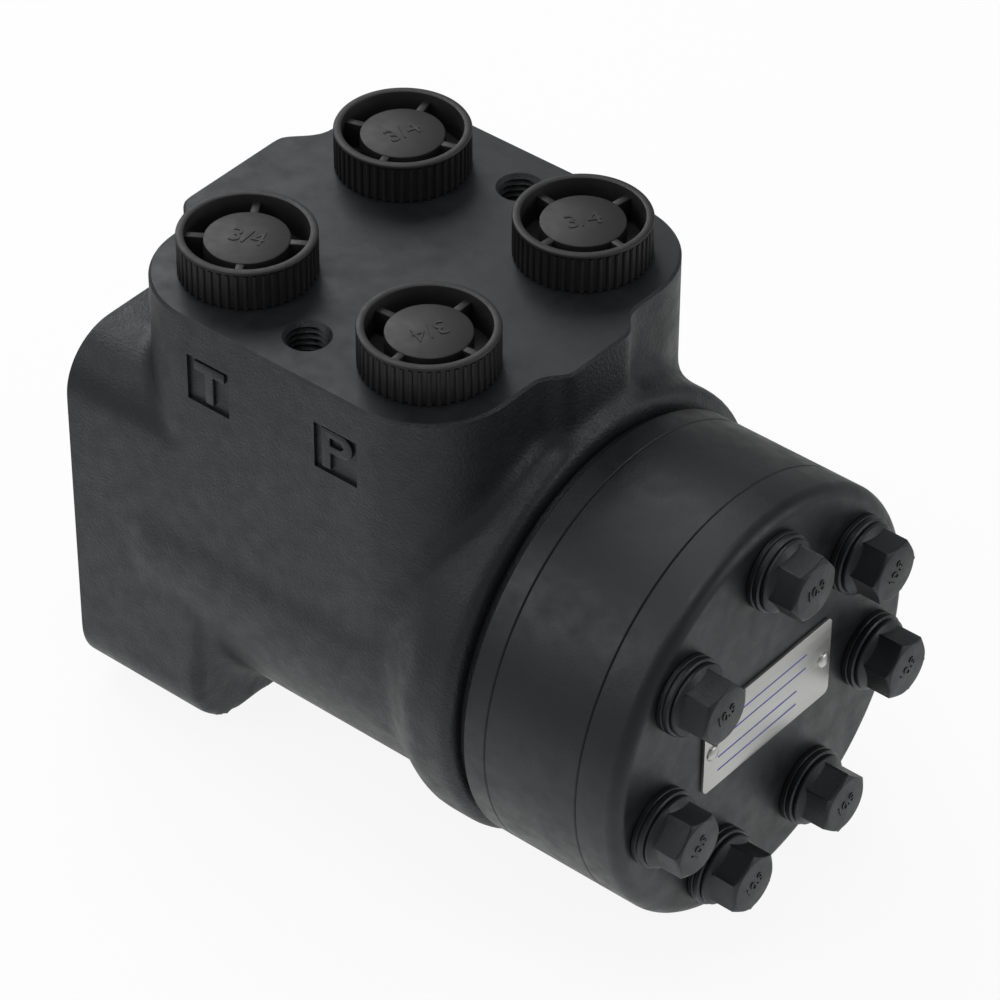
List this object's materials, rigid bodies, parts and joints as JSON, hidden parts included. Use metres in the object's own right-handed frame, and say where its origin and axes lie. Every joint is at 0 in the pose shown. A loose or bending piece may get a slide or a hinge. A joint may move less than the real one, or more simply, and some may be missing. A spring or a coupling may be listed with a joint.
{
  "type": "orbital steering unit",
  "caption": "Hydraulic orbital steering unit: cast valve housing with capped ports, spool and sleeve inside, and a bolted gear set with an end cover.",
  "frame": {"origin": "centre of the steering-column mounting face, on the shaft axis", "axes": "+X along the shaft towards the end cover, +Z out of the port face, -Y the side with the T and P marks"},
  "size_m": [0.1672, 0.1048, 0.1307],
  "materials": {
    "cast_housing": "matt black paint over sand casting",
    "painted_steel": "satin black paint over turned steel",
    "bolt_steel": "black paint over forged bolt heads",
    "washer_steel": "black paint",
    "cap_plastic": "moulded black polyethylene",
    "plate_metal": "brushed",
    "rivet_metal": "satin",
    "seal_rubber": "moulded nitrile rubber",
    "ground_steel": "ground steel"
  },
  "bodies": {
    "housing": {"valve_housing": "cast_housing", "dust_seal": "seal_rubber", "shaft_seal": "seal_rubber", "bearing_outer_race": "ground_steel", "distribution_plate": "painted_steel", "gerotor_ring": "painted_steel", "end_cover": "painted_steel", "cover_bolts": "bolt_steel", "pin_bolt": "bolt_steel", "rolled_pin": "ground_steel", "washers": "washer_steel", "check_bushing": "ground_steel", "name_plate": "plate_metal", "plate_rivets": "rivet_metal", "housing_o_ring": "seal_rubber", "plate_o_ring": "seal_rubber", "cover_o_ring": "seal_rubber"},
    "sleeve_set": {"sleeve": "ground_steel", "cross_pin": "ground_steel", "centering_springs": "ground_steel", "spring_ring": "ground_steel", "bearing_inner_race": "ground_steel"},
    "spool": {"spool": "ground_steel"},
    "bearing_cage": {"bearing_cage": "ground_steel", "bearing_needles": "ground_steel"},
    "orbit": {"spacer": "ground_steel"},
    "star": {"gerotor_star": "ground_steel"},
    "shaft": {"drive_shaft": "ground_steel"},
    "ball": {"check_ball": "ground_steel"},
    "cap_t": {"port_cap_t": "cap_plastic"},
    "cap_p": {"port_cap_p": "cap_plastic"},
    "cap_l": {"port_cap_l": "cap_plastic"},
    "cap_r": {"port_cap_r": "cap_plastic"}
  },
  "joints": [
    {"name": "sleeve_turn", "type": "hinge", "parent": "housing", "child": "sleeve_set", "pos_m": [0.06, 0, 0], "axis": [1, 0, 0], "continuous": true},
    {"name": "spool_deflection", "type": "hinge", "parent": "sleeve_set", "child": "spool", "pos_m": [0.06, 0, 0], "axis": [1, 0, 0], "range_deg": [-8, 8], "stiffness_Nm_per_rad": 8, "deforming": ["centering_springs"]},
    {"name": "cage_turn", "type": "hinge", "parent": "housing", "child": "bearing_cage", "pos_m": [0.0145, 0, 0], "axis": [1, 0, 0], "continuous": true},
    {"name": "rotor_orbit", "type": "hinge", "parent": "housing", "child": "orbit", "pos_m": [0.13285, 0, 0], "axis": [1, 0, 0], "continuous": true},
    {"name": "star_spin", "type": "hinge", "parent": "orbit", "child": "star", "pos_m": [0.13285, 0, -0.003], "axis": [1, 0, 0], "continuous": true},
    {"name": "shaft_spin", "type": "hinge", "parent": "orbit", "child": "shaft", "pos_m": [0.041, 0, 0], "axis": [0.9995, 0, -0.0326], "continuous": true},
    {"name": "check_ball_lift", "type": "slide", "parent": "housing", "child": "ball", "axis": [1, 0, 0], "range_m": [0, 0.0015]},
    {"name": "cap_t_lift", "type": "slide", "parent": "housing", "child": "cap_t", "axis": [0, 0, 1], "range_m": [0, 0.025]},
    {"name": "cap_p_lift", "type": "slide", "parent": "housing", "child": "cap_p", "axis": [0, 0, 1], "range_m": [0, 0.025]},
    {"name": "cap_l_lift", "type": "slide", "parent": "housing", "child": "cap_l", "axis": [0, 0, 1], "range_m": [0, 0.025]},
    {"name": "cap_r_lift", "type": "slide", "parent": "housing", "child": "cap_r", "axis": [0, 0, 1], "range_m": [0, 0.025]}
  ],
  "couplings": [
    {"joint": "rotor_orbit", "follows": "sleeve_turn", "ratio": -6},
    {"joint": "star_spin", "follows": "sleeve_turn", "ratio": 7},
    {"joint": "shaft_spin", "follows": "sleeve_turn", "ratio": 7},
    {"joint": "cage_turn", "follows": "sleeve_turn", "ratio": 0.5}
  ]
}
